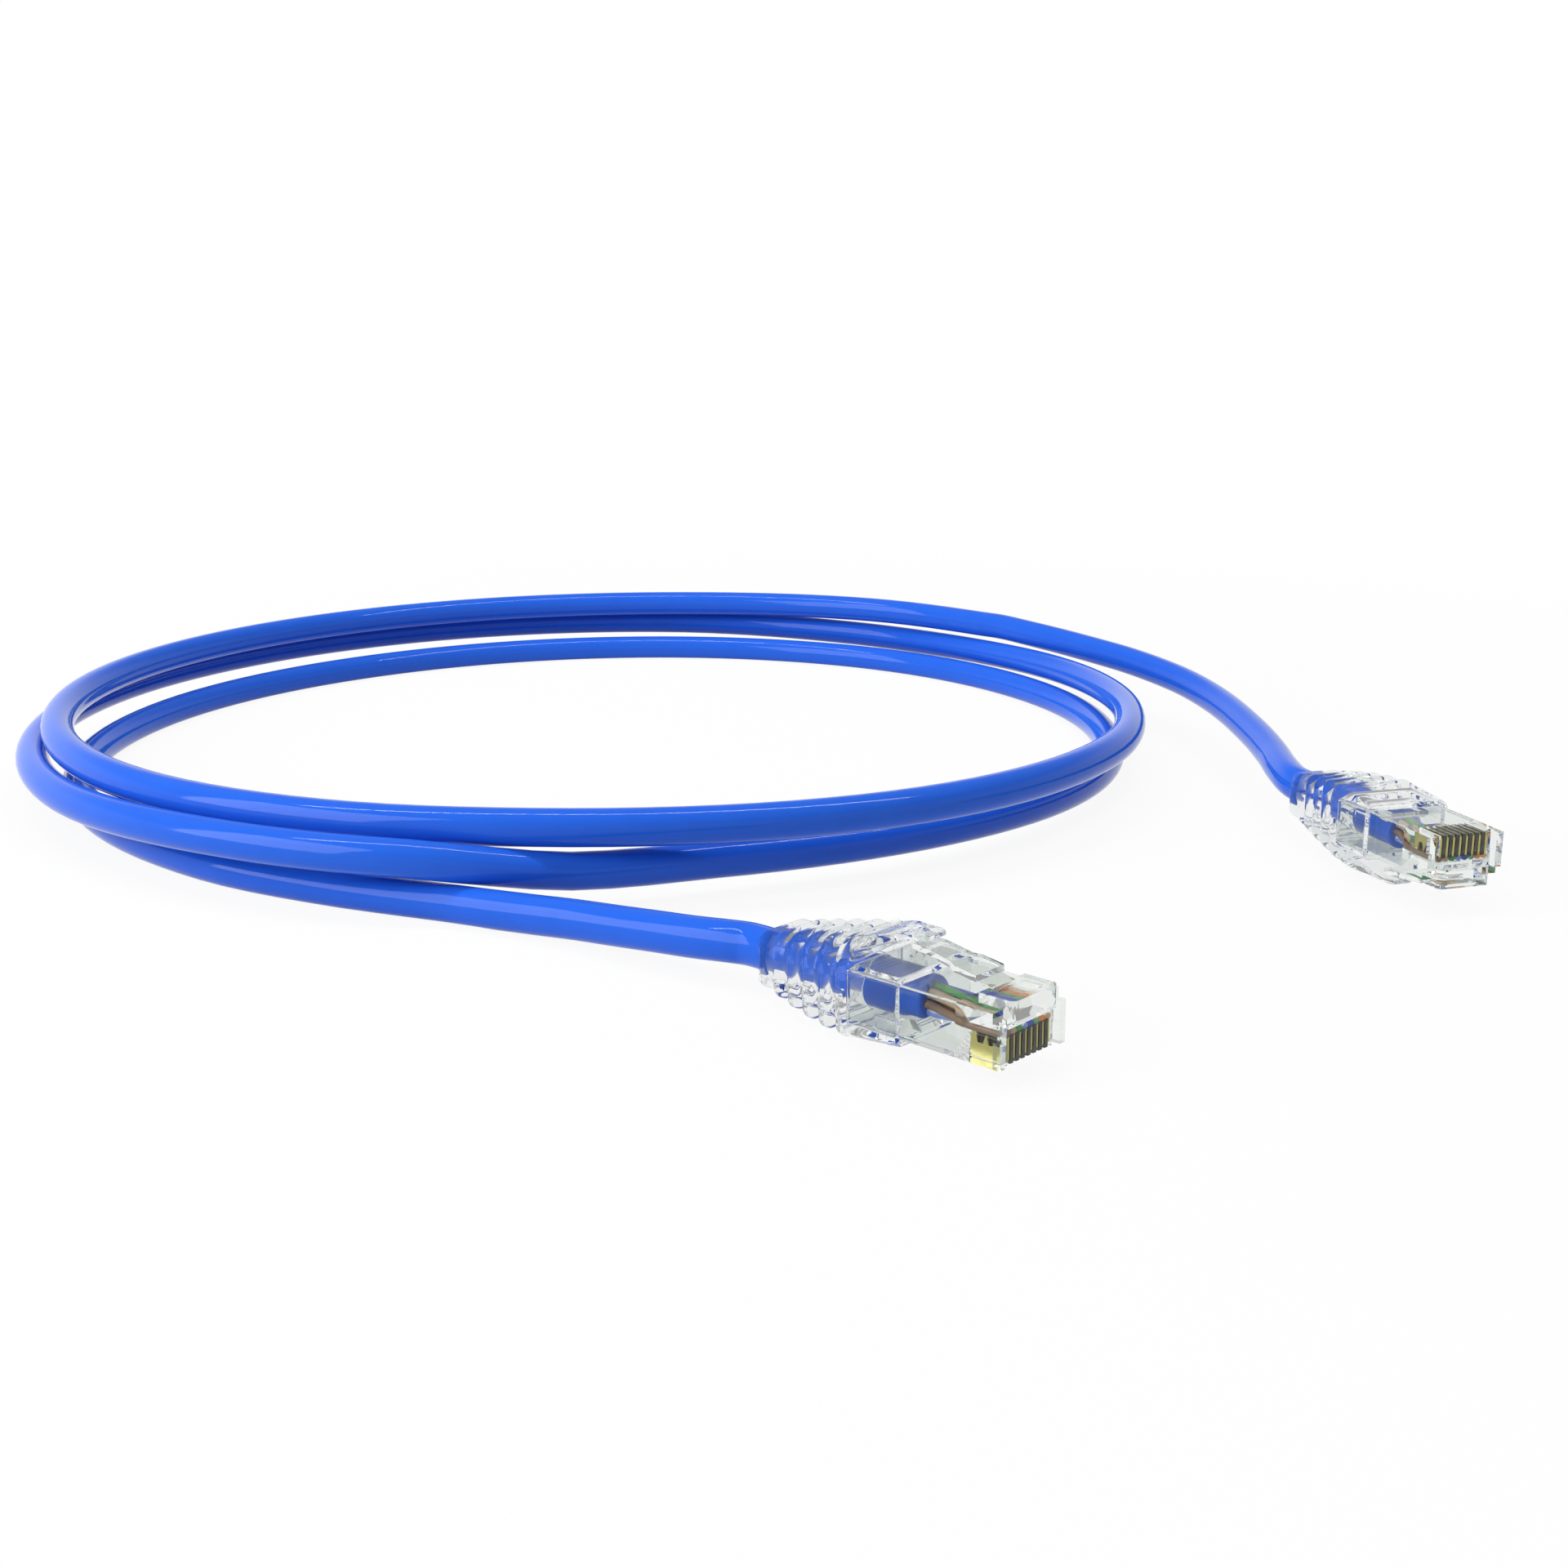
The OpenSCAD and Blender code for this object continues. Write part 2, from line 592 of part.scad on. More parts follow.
cable_coil();
cable_lead_a();
cable_lead_b();
at_a() housing();  // housing_a
at_a() latch();  // latch_a
at_a() clamp_bar();  // clamp_bar_a
at_a() jacket_end();  // jacket_end_a
at_a() boot();  // boot_a
at_a() boot_hood();  // boot_hood_a
at_b() housing();  // housing_b
at_b() latch();  // latch_b
at_b() clamp_bar();  // clamp_bar_b
at_b() jacket_end();  // jacket_end_b
at_b() boot();  // boot_b
at_b() boot_hood();  // boot_hood_b
for (k = [1 : pins]) at_a() contact(k);
for (k = [1 : pins]) at_b() contact(k);
for (k = [1 : pins]) color(wire_colors[k - 1]) at_a() wire(k);
for (k = [1 : pins]) color(wire_colors[pins - k]) at_b() wire(k);
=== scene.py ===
import json
import math

import bmesh
import bpy
from mathutils import Matrix, Vector


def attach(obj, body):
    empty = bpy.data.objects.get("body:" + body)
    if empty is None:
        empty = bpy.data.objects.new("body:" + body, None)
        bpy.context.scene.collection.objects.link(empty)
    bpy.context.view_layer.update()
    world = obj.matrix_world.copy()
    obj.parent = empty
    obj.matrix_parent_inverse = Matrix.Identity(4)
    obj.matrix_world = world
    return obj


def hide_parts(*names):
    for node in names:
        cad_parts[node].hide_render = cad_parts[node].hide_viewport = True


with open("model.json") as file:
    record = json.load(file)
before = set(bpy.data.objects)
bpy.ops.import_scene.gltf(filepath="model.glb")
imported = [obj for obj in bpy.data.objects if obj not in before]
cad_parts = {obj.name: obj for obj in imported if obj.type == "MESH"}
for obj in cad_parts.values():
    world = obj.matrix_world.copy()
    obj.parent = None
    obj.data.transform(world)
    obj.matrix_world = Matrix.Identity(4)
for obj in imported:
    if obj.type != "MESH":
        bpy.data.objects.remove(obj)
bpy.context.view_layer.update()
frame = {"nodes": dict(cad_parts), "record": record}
mm = 0.001

# Sizes are in millimetres and repeat the part's source. The coil's middle is the origin until
# everything moves by the centre of the whole box.
cable = {
    "diameter": 5.4,
    "coilRadius": 100.0,
    "layGap": 0.45,      # room between turns that lie beside each other
    "axisHeight": 0.4,   # of a turn on the floor, in diameters
    "bevelSteps": 14,    # roundness of the jacket
    "ringDegrees": 3,    # one ring of the coil
    "leadRings": 4,      # rings between two points of a lead
    "weld": 0.001,
}
plug = {
    "housingLength": 21.5,
    "housingWidth": 11.7,
    "housingHeight": 6.2,
    "combIn": 0.5,       # from the nose back to the comb
    "pins": 8,
    "pinPitch": 1.02,
    "contactLength": 4.6,
    "contactTop": 3.15,
    "contactRoom": 0.1,  # before and behind a contact
    "fanLength": 8.2,    # from the jacket's end to the comb
    "bootLength": 15.7,
    "ribLow": 2.0,
    "ribTop": 9.7,
    "ribThickness": 1.5,
    "ribRounding": 0.2,
    "hoodRise": 1.3,
    "hoodRoom": 0.1,     # between the hood's crown and the floor
}
plugLay = {  # degrees round the coil, millimetres outwards, degrees turned
    "a": {"angle": -74.04, "out": 47.3, "turn": -44.0, "noseUp": 1.0},
    "b": {"angle": -34.5, "out": 40.5, "turn": -73.4},
}
pitch = cable["diameter"] + cable["layGap"]
floorZ = cable["axisHeight"] * cable["diameter"]

# Places along a plug, from the boot's end of the housing
combX = plug["housingLength"] - plug["combIn"]
contactX = combX - plug["contactRoom"] - plug["contactLength"]
rowX = contactX - plug["contactRoom"]
jacketX = rowX - plug["fanLength"]
axisZ = plug["housingHeight"] / 2

# (angle in degrees, steps outwards, steps up)
lay = [
    (45, -0.25, 1.75), (60, -0.15, 1.75), (90, -0.1, 1.65), (135, 0.1, 1.6),
    (180, 0.1, 1.6), (225, 0, 1.55), (250, -0.15, 1.58), (268, -0.25, 1.62),
    (300, -0.3, 1.55), (330, -0.85, 1.4), (350, -1.25, 1.25), (370, -1.25, 1.05),
    (395, -0.7, 0.8), (410, -0.2, 0.7), (425, 0.2, 0.7), (450, 0.6, 0.8),
    (520, 0.8, 0.85), (575, 0.8, 0.85), (598, 0.85, 1.05), (613, 0.92, 1.1),
    (619, 0.75, 1.04), (624, 0.33, 0.82), (630, -0.25, 0.56), (643, -1.1, 0.5),
    (665, -1.45, 0.45), (690, -1.7, 0.25), (715, -1.8, 0.05), (740, -1.55, 0),
    (780, -1.2, 0), (850, -1.1, 0), (890, -0.7, 0), (930, -0.3, 0),
    (950, -0.1, 0), (960, 0.08, 0), (968, 0.2, 0), (975, 0.4, 0),
]
backTurn, leftTurn = 450, 540  # angles where the coil reaches furthest back and left

# (angle in degrees, millimetres outwards, height)
leadPoints = {
    "a": [
        (-95.8, 6, 2.3), (-92, 9, 2.6), (-89, 12.2, 3), (-86.3, 16, 3.4),
        (-83.8, 20.2, 3.9), (-81.7, 24.1, 4.3), (-79.8, 27.6, 4.7),
    ],
    "b": [
        (34.2, -0.8, 12.1), (28.5, 0.5, 11.6), (22.9, 1.9, 11.2), (17.3, 3.9, 10.8),
        (11.6, 6, 10.3), (6.1, 7.8, 9.9), (0.3, 9.4, 9.5), (-5.4, 11, 9.2),
        (-11, 13, 8.9), (-16.3, 15.6, 8.6), (-21, 18.4, 8.3), (-24.9, 21.1, 8.1),
    ],
}


def bend(t, start, slopeStart, end, slopeEnd):
    # Smooth step from start to end that leaves and arrives with the given slopes
    return ((2 * t**3 - 3 * t**2 + 1) * start + (t**3 - 2 * t**2 + t) * slopeStart
            + (3 * t**2 - 2 * t**3) * end + (t**3 - t**2) * slopeEnd)


def laySlope(i, column):
    before, after = max(i - 1, 0), min(i + 1, len(lay) - 1)
    return (lay[after][column] - lay[before][column]) / (lay[after][0] - lay[before][0])


def layAt(angle, column):
    i = max([k for k in range(len(lay) - 1) if lay[k][0] <= angle] or [0])
    span = lay[i + 1][0] - lay[i][0]
    t = (angle - lay[i][0]) / span
    return bend(t, lay[i][column], span * laySlope(i, column),
                lay[i + 1][column], span * laySlope(i + 1, column))


def beside(angle, out, height):
    # A point that many millimetres outwards from the coil
    a = math.radians(angle)
    radius = cable["coilRadius"] + out
    return Vector((radius * math.cos(a), radius * math.sin(a), height))


def coilAt(angle):
    return beside(angle, pitch * layAt(angle, 1), floorZ + pitch * layAt(angle, 2))


# Plug a lies on its ribs with the latch upwards, plug b upside down on its hood
noseUp = math.radians(plugLay["a"]["noseUp"])
ribFoot = plug["ribThickness"] - plug["ribRounding"]
plugHeight = {
    "a": plug["ribLow"] * math.cos(noseUp) + ribFoot * math.sin(noseUp),
    "b": plug["ribTop"] + plug["hoodRise"] + plug["hoodRoom"],
}
turnA, turnB = math.radians(plugLay["a"]["turn"]), math.radians(plugLay["b"]["turn"])
plugAt = {side: beside(at["angle"], at["out"], plugHeight[side]) for side, at in plugLay.items()}
plugTurned = {
    "a": Matrix.Rotation(turnA, 4, "Z") @ Matrix.Rotation(-noseUp, 4, "Y"),
    "b": Matrix.Rotation(turnB, 4, "Z") @ Matrix.Rotation(math.pi, 4, "X"),
}

# The part's origin is the middle of everything's box
noseAway = Vector((plug["housingLength"], 0, 0))
halfWide = plug["housingWidth"] / 2
rightX = plugAt["b"].x + (plugTurned["b"] @ noseAway).x - math.sin(turnB) * halfWide
frontY = plugAt["a"].y + (plugTurned["a"] @ noseAway).y - math.cos(turnA) * halfWide
leftX = -coilAt(leftTurn).x + cable["diameter"] / 2
backY = coilAt(backTurn).y + cable["diameter"] / 2
centre = Vector(((rightX - leftX) / 2, (backY + frontY) / 2, 0))
plugPlace = {
    side: Matrix.Scale(mm, 4) @ Matrix.Translation(plugAt[side] - centre) @ plugTurned[side]
    for side in plugLay
}


def curvedLine(points, pieces):
    # Points of a smooth line through the given ones, with the ends kept straight
    found = []
    ends = [2 * points[0] - points[1]] + list(points) + [2 * points[-1] - points[-2]]
    for i in range(1, len(ends) - 2):
        before, start, end, after = ends[i - 1:i + 3]
        length = (end - start).length
        slopeStart = (end - before) * (length / ((start - before).length + length))
        slopeEnd = (after - start) * (length / (length + (after - end).length))
        for k in range(pieces):
            found.append(bend(k / pieces, start, slopeStart, end, slopeEnd))
    found.append(points[-1])
    return found


def leadLine(side, coilEnd, beforeEnd):
    # Straight on from the coil's last ring, past the lead's points and straight into the boot
    step = cable["diameter"]
    onwards = (coilAt(coilEnd) - coilAt(beforeEnd)).normalized()
    start = coilAt(coilEnd) + step * onwards
    bootEnd = plugTurned[side] @ Vector((-plug["bootLength"], 0, axisZ)) + plugAt[side]
    away = plugTurned[side] @ Vector((1, 0, 0))
    return ([start, start + step * onwards] + [beside(*point) for point in leadPoints[side]]
            + [bootEnd - step * away, bootEnd])


def cableRoute():
    # From the boot of plug b to the boot of plug a, in metres
    first, last = lay[0][0], lay[-1][0]
    leadA, leadB = leadLine("a", last, last - 1), leadLine("b", first, first + 1)
    turns = [coilAt(angle) for angle in range(first, last + 1, cable["ringDegrees"])]
    line = (curvedLine(leadB[::-1], cable["leadRings"]) + turns
            + curvedLine(leadA, cable["leadRings"]))
    return [(point - centre) * mm for point in line]


shot = {
    "place": (29.2, -343.2, 80.4),
    "down": 14.354,      # degrees under level
    "lens": 42.73,
    "sensor": 36.0,
    "clip": (0.01, 20),  # metres
}
cameraData = bpy.data.cameras.new("camera")
camera = bpy.data.objects.new("camera", cameraData)
bpy.context.scene.collection.objects.link(camera)
cameraData.lens = shot["lens"]
cameraData.sensor_width = shot["sensor"]
cameraData.clip_start, cameraData.clip_end = shot["clip"]
camera.location = (Vector(shot["place"]) - centre) * mm
camera.rotation_euler = (math.radians(90 - shot["down"]), 0, 0)
bpy.context.scene.camera = camera
print("camera placed")


# Finishes: grain is the scale of the surface's unevenness and octaves its fineness, wave is its
# strength and its depth in metres, rough is the least and most roughness.
octaves = 3.0
jacketLook = {
    "colour": (0.018, 0.114, 0.64),
    "shade": (0.015, 0.102, 0.6),
    "index": 1.24,
    "rough": (0.06, 0.1),
    "grain": 260,
    "wave": (0.1, 0.00005),
}
plugLook = {
    "colour": (0.86, 0.885, 0.865),
    "clear": 1.0,
    "index": 1.2,
    "rough": (0.0, 0.02),
    "grain": 300,
    "wave": (0.02, 0.00002),
}
bootLook = {
    "colour": (0.86, 0.875, 0.875),
    "clear": 1.0,
    "index": 1.19,
    "rough": (0.0, 0.03),
    "grain": 260,
    "wave": (0.02, 0.00004),
}
# Painted shade: the fins of the clear comb are tinted dark grey for the shade that falls between
# the contacts
finLook = {
    "colour": (0.16, 0.165, 0.15),
    "clear": 0.75,
    "index": 1.3,
    "rough": (0.08, 0.25),
    "grain": 1500,
    "wave": (0.3, 0.00005),
}
goldLook = {
    "colour": (0.5, 0.45, 0.17),
    "metal": 0.9,
    "rough": (0.4, 0.55),
    "grain": 900,
    "wave": (0.1, 0.00002),
}
wireLook = {
    "rough": (0.25, 0.38),
    "grain": 600,
    "wave": (0.08, 0.00002),
    "stripe": 0.25,              # its middle, in turns round the wire from the plain colour's
    "stripeEdge": (0.15, 0.17),  # where the colour changes
}
wireColours = {  # insulation and its stripe
    "wire_brown": ((0.21, 0.13, 0.085), None),
    "wire_white_brown": ((0.47, 0.34, 0.235), None),
    "wire_green": ((0.015, 0.27, 0.025), None),
    "wire_white_blue": ((0.2, 0.29, 0.74), (0.75, 0.78, 0.85)),
    "wire_blue": ((0.01, 0.05, 0.5), None),
    "wire_white_green": ((0.15, 0.4, 0.2), None),
    "wire_orange": ((0.78, 0.25, 0.03), None),
    "wire_white_orange": ((0.74, 0.4, 0.2), (0.85, 0.7, 0.55)),
}


def newMaterial(name):
    material = bpy.data.materials.new(name)
    material.use_nodes = True
    return material, material.node_tree.nodes, material.node_tree.links


def mixColours(nodes, links, share, first, second, shader):
    mix = nodes.new("ShaderNodeMix")
    mix.data_type = "RGBA"
    mix.inputs["A"].default_value = (*first, 1)
    mix.inputs["B"].default_value = (*second, 1)
    links.new(share, mix.inputs["Factor"])
    links.new(mix.outputs["Result"], shader.inputs["Base Color"])


def unevenFinish(name, look):
    # Roughness, and with a shade also the colour, that varies a little over a faintly wavy surface
    material, nodes, links = newMaterial(name)
    shader = nodes["Principled BSDF"]
    place = nodes.new("ShaderNodeTexCoord")
    cloudy = nodes.new("ShaderNodeTexNoise")
    cloudy.inputs["Scale"].default_value = look["grain"]
    cloudy.inputs["Detail"].default_value = octaves
    links.new(place.outputs["Object"], cloudy.inputs["Vector"])
    spread = nodes.new("ShaderNodeMapRange")
    spread.inputs["To Min"].default_value, spread.inputs["To Max"].default_value = look["rough"]
    links.new(cloudy.outputs["Fac"], spread.inputs["Value"])
    links.new(spread.outputs["Result"], shader.inputs["Roughness"])
    wave = nodes.new("ShaderNodeBump")
    wave.inputs["Strength"].default_value, wave.inputs["Distance"].default_value = look["wave"]
    links.new(cloudy.outputs["Fac"], wave.inputs["Height"])
    links.new(wave.outputs["Normal"], shader.inputs["Normal"])
    if "shade" in look:
        mixColours(nodes, links, cloudy.outputs["Fac"], look["shade"], look["colour"], shader)
    return material, shader


def jacketPlastic():
    material, shader = unevenFinish("jacketPlastic", jacketLook)
    shader.inputs["IOR"].default_value = jacketLook["index"]
    return material


def clearPlastic(name, look):
    material, shader = unevenFinish(name, look)
    shader.inputs["Base Color"].default_value = (*look["colour"], 1)
    shader.inputs["Transmission Weight"].default_value = look["clear"]
    shader.inputs["IOR"].default_value = look["index"]
    return material


def goldPlate():
    material, shader = unevenFinish("goldPlate", goldLook)
    shader.inputs["Base Color"].default_value = (*goldLook["colour"], 1)
    shader.inputs["Metallic"].default_value = goldLook["metal"]
    return material


def wirePlastic(name, colour, stripe):
    material, shader = unevenFinish(name, wireLook)
    shader.inputs["Base Color"].default_value = (*colour, 1)
    if stripe:  # lengthwise, by the map's turn round the wire
        nodes, links = material.node_tree.nodes, material.node_tree.links
        roundWire = nodes.new("ShaderNodeUVMap")
        parts = nodes.new("ShaderNodeSeparateXYZ")
        links.new(roundWire.outputs["UV"], parts.inputs[0])
        band = nodes.new("ShaderNodeMath")
        band.operation = "PINGPONG"
        band.inputs[1].default_value = wireLook["stripe"]
        links.new(parts.outputs["Y"], band.inputs[0])
        edge = nodes.new("ShaderNodeMapRange")
        plainTo, stripeFrom = wireLook["stripeEdge"]
        edge.inputs["From Min"].default_value = plainTo
        edge.inputs["From Max"].default_value = stripeFrom
        links.new(band.outputs[0], edge.inputs["Value"])
        mixColours(nodes, links, edge.outputs["Result"], colour, stripe, shader)
    return material


looks = {
    "jacket": jacketPlastic(),
    "clear_plug": clearPlastic("clearPlug", plugLook),
    "clear_boot": clearPlastic("clearBoot", bootLook),
    "contact_gold": goldPlate(),
}
paintedShadeFins = clearPlastic("paintedShadeFins", finLook)  # painted shade: the comb's fins get a dark grey tint that stands in for the shade between the contacts
for slotName, (colour, stripe) in wireColours.items():
    wireName = slotName.replace("_", " ").title().replace(" ", "")
    looks[slotName] = wirePlastic(wireName[0].lower() + wireName[1:], colour, stripe)
for part in frame["record"]["subparts"]:
    node = frame["nodes"][part["node"]]
    node.data.materials.clear()
    node.data.materials.append(looks[part["material_slot"]])
print("materials made")


def tube(name, line, radius, bevelSteps, lowest=None):
    # A round closed tube along a line; lowest is a floor that presses its underside flat
    data = bpy.data.curves.new(name, "CURVE")
    data.dimensions = "3D"
    data.bevel_depth = radius
    data.bevel_resolution = bevelSteps
    data.use_fill_caps = True
    spline = data.splines.new("POLY")
    spline.points.add(len(line) - 1)
    for point, at in zip(spline.points, line):
        point.co = (*at, 1)
    maker = bpy.data.objects.new(name + "Line", data)
    bpy.context.scene.collection.objects.link(maker)
    solid = maker.evaluated_get(bpy.context.evaluated_depsgraph_get())
    mesh = bpy.data.meshes.new_from_object(solid)
    mesh.name = name
    bpy.data.objects.remove(maker)
    piece = bpy.data.objects.new(name, mesh)
    bpy.context.scene.collection.objects.link(piece)
    shape = bmesh.new()
    shape.from_mesh(mesh)
    bmesh.ops.remove_doubles(shape, verts=shape.verts, dist=cable["weld"] * mm)
    if lowest is not None:
        for vert in shape.verts:
            vert.co.z = max(vert.co.z, lowest)
    bmesh.ops.recalc_face_normals(shape, faces=shape.faces)
    for face in shape.faces:
        face.smooth = len(face.verts) == 4  # all but the caps
    shape.to_mesh(mesh)
    shape.free()
    return piece


route = cableRoute()
jacket = tube("jacket", route, cable["diameter"] / 2 * mm, cable["bevelSteps"], lowest=0)
jacket.data.materials.append(looks["jacket"])
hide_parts("cable_coil", "cable_lead_a", "cable_lead_b")
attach(jacket, "cable")


wires = {
    "diameter": 0.95,
    "rowHeight": 3.35,
    "fanRadius": 1.45,  # of the ring in which they leave the jacket
    "fanAngles": (180, 135, 90, 225, 45, 270, 315, 0),
    "fanPoints": 6,
    "spread": 1.4,      # above 1, they spread sooner
    "settle": 1.5,      # above 1, they settle into the row later
    "short": 0.25,      # of the comb's end
    "bevelSteps": 4,
    "rings": 4,         # between two points
}
wireOrder = {"a": list(wireColours), "b": list(wireColours)[::-1]}


def wireLine(k):
    # One conductor, from the ring in the jacket to its place in the row
    a = math.radians(wires["fanAngles"][k])
    startY, startZ = wires["fanRadius"] * math.cos(a), wires["fanRadius"] * math.sin(a)
    endY, endZ = (k - (plug["pins"] - 1) / 2) * plug["pinPitch"], wires["rowHeight"]
    startX, endX = jacketX + wires["diameter"], combX - wires["short"]
    line = [Vector((jacketX, startY, axisZ + startZ))]
    for i in range(wires["fanPoints"]):
        t = i / (wires["fanPoints"] - 1)
        out = 1 - (1 - t) ** wires["spread"]
        inRing = 1 if t < 0.5 else 1 - (2 * t - 1) ** wires["settle"]
        line.append(Vector((startX + (rowX - startX) * t, startY + (endY - startY) * out,
                            axisZ + (endZ - axisZ) * t + startZ * inRing)))
    return line + [Vector(((rowX + endX) / 2, endY, endZ)), Vector((endX, endY, endZ))]


for side, place in plugPlace.items():
    for k in range(plug["pins"]):
        slotName = wireOrder[side][k]
        line = [place @ point for point in curvedLine(wireLine(k), wires["rings"])]
        wire = tube("conductor%s%d" % (side.upper(), k + 1), line,
                    wires["diameter"] / 2 * mm, wires["bevelSteps"])
        wire.data.materials.append(looks[slotName])
        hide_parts("wire_%s_%d" % (side, k + 1))
        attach(wire, "cable")
print("conductors laid")


def addPiece(name, shape, side, look):
    # Puts a shape that was made in a plug's own frame, in millimetres, where the plug is
    shape.transform(plugPlace[side])
    mesh = bpy.data.meshes.new(name)
    shape.to_mesh(mesh)
    shape.free()
    mesh.materials.append(look)
    piece = bpy.data.objects.new(name, mesh)
    bpy.context.scene.collection.objects.link(piece)
    return piece


jacketEnd = {
    "spinSteps": 56,
    "edge": 0.4,         # rounding of the cut end
    "edgeSteps": 5,
    "rings": 0.3,        # apart, where the bar presses
    "ringsBefore": 0.6,  # they start this far before the bar
    "flatFace": 0.95,    # the cut end isn't shaded smooth
    "weld": 0.0001,
}
clamp = {  # the bar that is pressed into the jacket
    "length": 4.9,
    "past": 0.6,         # reaches this far past the jacket's end
    "flat": 1.6,         # length of its level top inside the jacket
    "low": 0.5,          # height where it enters
    "high": 1.5,
}
clampX = jacketX + clamp["past"] - clamp["length"]


def clampTop(x):
    # Height of the bar's upper face, which rises on a slope and then stays level
    flatX = jacketX - clamp["flat"]
    if x < flatX:
        return clamp["low"] + (x - clampX) / (flatX - clampX) * (clamp["high"] - clamp["low"])
    return clamp["high"]


for side in plugPlace:
    shape = bmesh.new()
    radius, edge, end = cable["diameter"] / 2, jacketEnd["edge"], jacketX - jacketEnd["edge"]
    outline = [(-plug["bootLength"], 0), (-plug["bootLength"], radius)]
    reach = clampX - jacketEnd["ringsBefore"]
    while reach < end:
        outline.append((reach, radius))
        reach += jacketEnd["rings"]
    for k in range(jacketEnd["edgeSteps"] + 1):
        a = math.radians(90 / jacketEnd["edgeSteps"] * k)
        outline.append((end + edge * math.sin(a), radius - edge + edge * math.cos(a)))
    outline.append((jacketX, 0))
    verts = [shape.verts.new((x, 0, axisZ + r)) for x, r in outline]
    edges = [shape.edges.new(pair) for pair in zip(verts, verts[1:])]
    bmesh.ops.spin(shape, geom=verts + edges, cent=(0, 0, axisZ), axis=(1, 0, 0),
                   angle=2 * math.pi, steps=jacketEnd["spinSteps"], use_merge=True)
    bmesh.ops.remove_doubles(shape, verts=shape.verts, dist=jacketEnd["weld"])
    bmesh.ops.recalc_face_normals(shape, faces=shape.faces)
    for vert in shape.verts:  # the bar presses the underside flat
        if vert.co.x > clampX and vert.co.z < clampTop(vert.co.x):
            vert.co.z = clampTop(vert.co.x)
    for face in shape.faces:
        face.smooth = abs(face.normal.x) < jacketEnd["flatFace"]
    piece = addPiece("jacketEnd" + side.upper(), shape, side, looks["jacket"])
    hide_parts("jacket_end_" + side)
    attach(piece, "cable")
print("jacket ends pressed")


easedEdge = {  # widths of the rounding, then how it is made
    "housing": 0.07,
    "latch": 0.07,
    "contact": 0.03,
    "clamp": 0.05,
    "steps": 2,
    "sharp": 20,    # degrees from which an edge is rounded
    "level": 1,     # degrees up to which faces count as one
    "weld": 0.002,
}
# Where the painted shade goes: the comb's upright fin faces between the contacts
combFins = {
    "rear": contactX + 0.6,
    "top": plug["contactTop"] + 0.15,
    "half": 3.4,     # to either side of the middle
    "upright": 0.7,  # faces that lie flatter stay clear
}


def easedShape(node, side, width):
    # The CAD solid in the plug's own frame, in millimetres, with its sharp edges bevelled
    shape = bmesh.new()
    shape.from_mesh(frame["nodes"][node].data)
    shape.transform(plugPlace[side].inverted())
    bmesh.ops.remove_doubles(shape, verts=shape.verts, dist=easedEdge["weld"])
    bmesh.ops.dissolve_limit(shape, angle_limit=math.radians(easedEdge["level"]),
                             verts=shape.verts, edges=shape.edges)
    sharp = [e for e in shape.edges if len(e.link_faces) == 2
             and e.calc_face_angle(0) > math.radians(easedEdge["sharp"])]
    bmesh.ops.bevel(shape, geom=sharp, offset=width, offset_type="OFFSET", affect="EDGES",
                    segments=easedEdge["steps"], profile=0.5, clamp_overlap=True, material=-1)
    bmesh.ops.triangulate(shape, faces=shape.faces)
    return shape


def onFin(face):
    middle = face.calc_center_median()
    return (middle.x > combFins["rear"] and middle.z < combFins["top"]
            and abs(middle.y) < combFins["half"] and abs(face.normal.z) < combFins["upright"])


for side in plugPlace:
    for kind, node, slotName, body in (
        ("housing", "housing_" + side, "clear_plug", "cable"),
        ("latch", "latch_" + side, "clear_plug", "latch_" + side),
        ("clamp", "clamp_bar_" + side, "clear_plug", "cable"),
    ):
        shape = easedShape(node, side, easedEdge[kind])
        if kind == "housing":
            # painted shade on the comb's fins
            for face in filter(onFin, shape.faces):
                face.material_index = 1
        piece = addPiece(kind + "Piece" + side.upper(), shape, side, looks[slotName])
        if kind == "housing":
            piece.data.materials.append(paintedShadeFins)
        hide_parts(node)
        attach(piece, body)
    for k in range(1, plug["pins"] + 1):
        node = "contact_%s_%d" % (side, k)
        shape = easedShape(node, side, easedEdge["contact"])
        piece = addPiece("blade%s%d" % (side.upper(), k), shape, side, looks["contact_gold"])
        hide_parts(node)
        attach(piece, "cable")
print("plugs and contacts eased")


softForm = {
    "boot": {"square": 0.15, "passes": 5},  # size of the skin's squares, rounds of smoothing
    "hood": {"square": 0.12, "passes": 4},
    "smoothing": 0.5,
    "weld": 0.0001,
}


def softShape(node, side, form):
    # The CAD solid with a fine even skin whose edges and hollows are rounded
    source = frame["nodes"][node].data.copy()
    shape = bmesh.new()
    shape.from_mesh(source)
    bmesh.ops.remove_doubles(shape, verts=shape.verts, dist=softForm["weld"] * mm)
    shape.transform(plugPlace[side].inverted())
    shape.to_mesh(source)
    shape.free()
    maker = bpy.data.objects.new(node + "Skin", source)
    bpy.context.scene.collection.objects.link(maker)
    skin = maker.modifiers.new("skin", "REMESH")
    skin.mode = "VOXEL"
    skin.voxel_size = form["square"]
    even = maker.modifiers.new("even", "SMOOTH")
    even.factor = softForm["smoothing"]
    even.iterations = form["passes"]
    solid = maker.evaluated_get(bpy.context.evaluated_depsgraph_get())
    made = bpy.data.meshes.new_from_object(solid)
    bpy.data.objects.remove(maker)
    shape = bmesh.new()
    shape.from_mesh(made)
    for face in shape.faces:
        face.smooth = True
    return shape


for side in plugPlace:
    for kind, node, body in (
        ("boot", "boot_" + side, "cable"),
        ("hood", "boot_hood_" + side, "hood_" + side),
    ):
        shape = softShape(node, side, softForm[kind])
        piece = addPiece(kind + "Piece" + side.upper(), shape, side, looks["clear_boot"])
        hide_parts(node)
        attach(piece, body)
print("boots moulded")

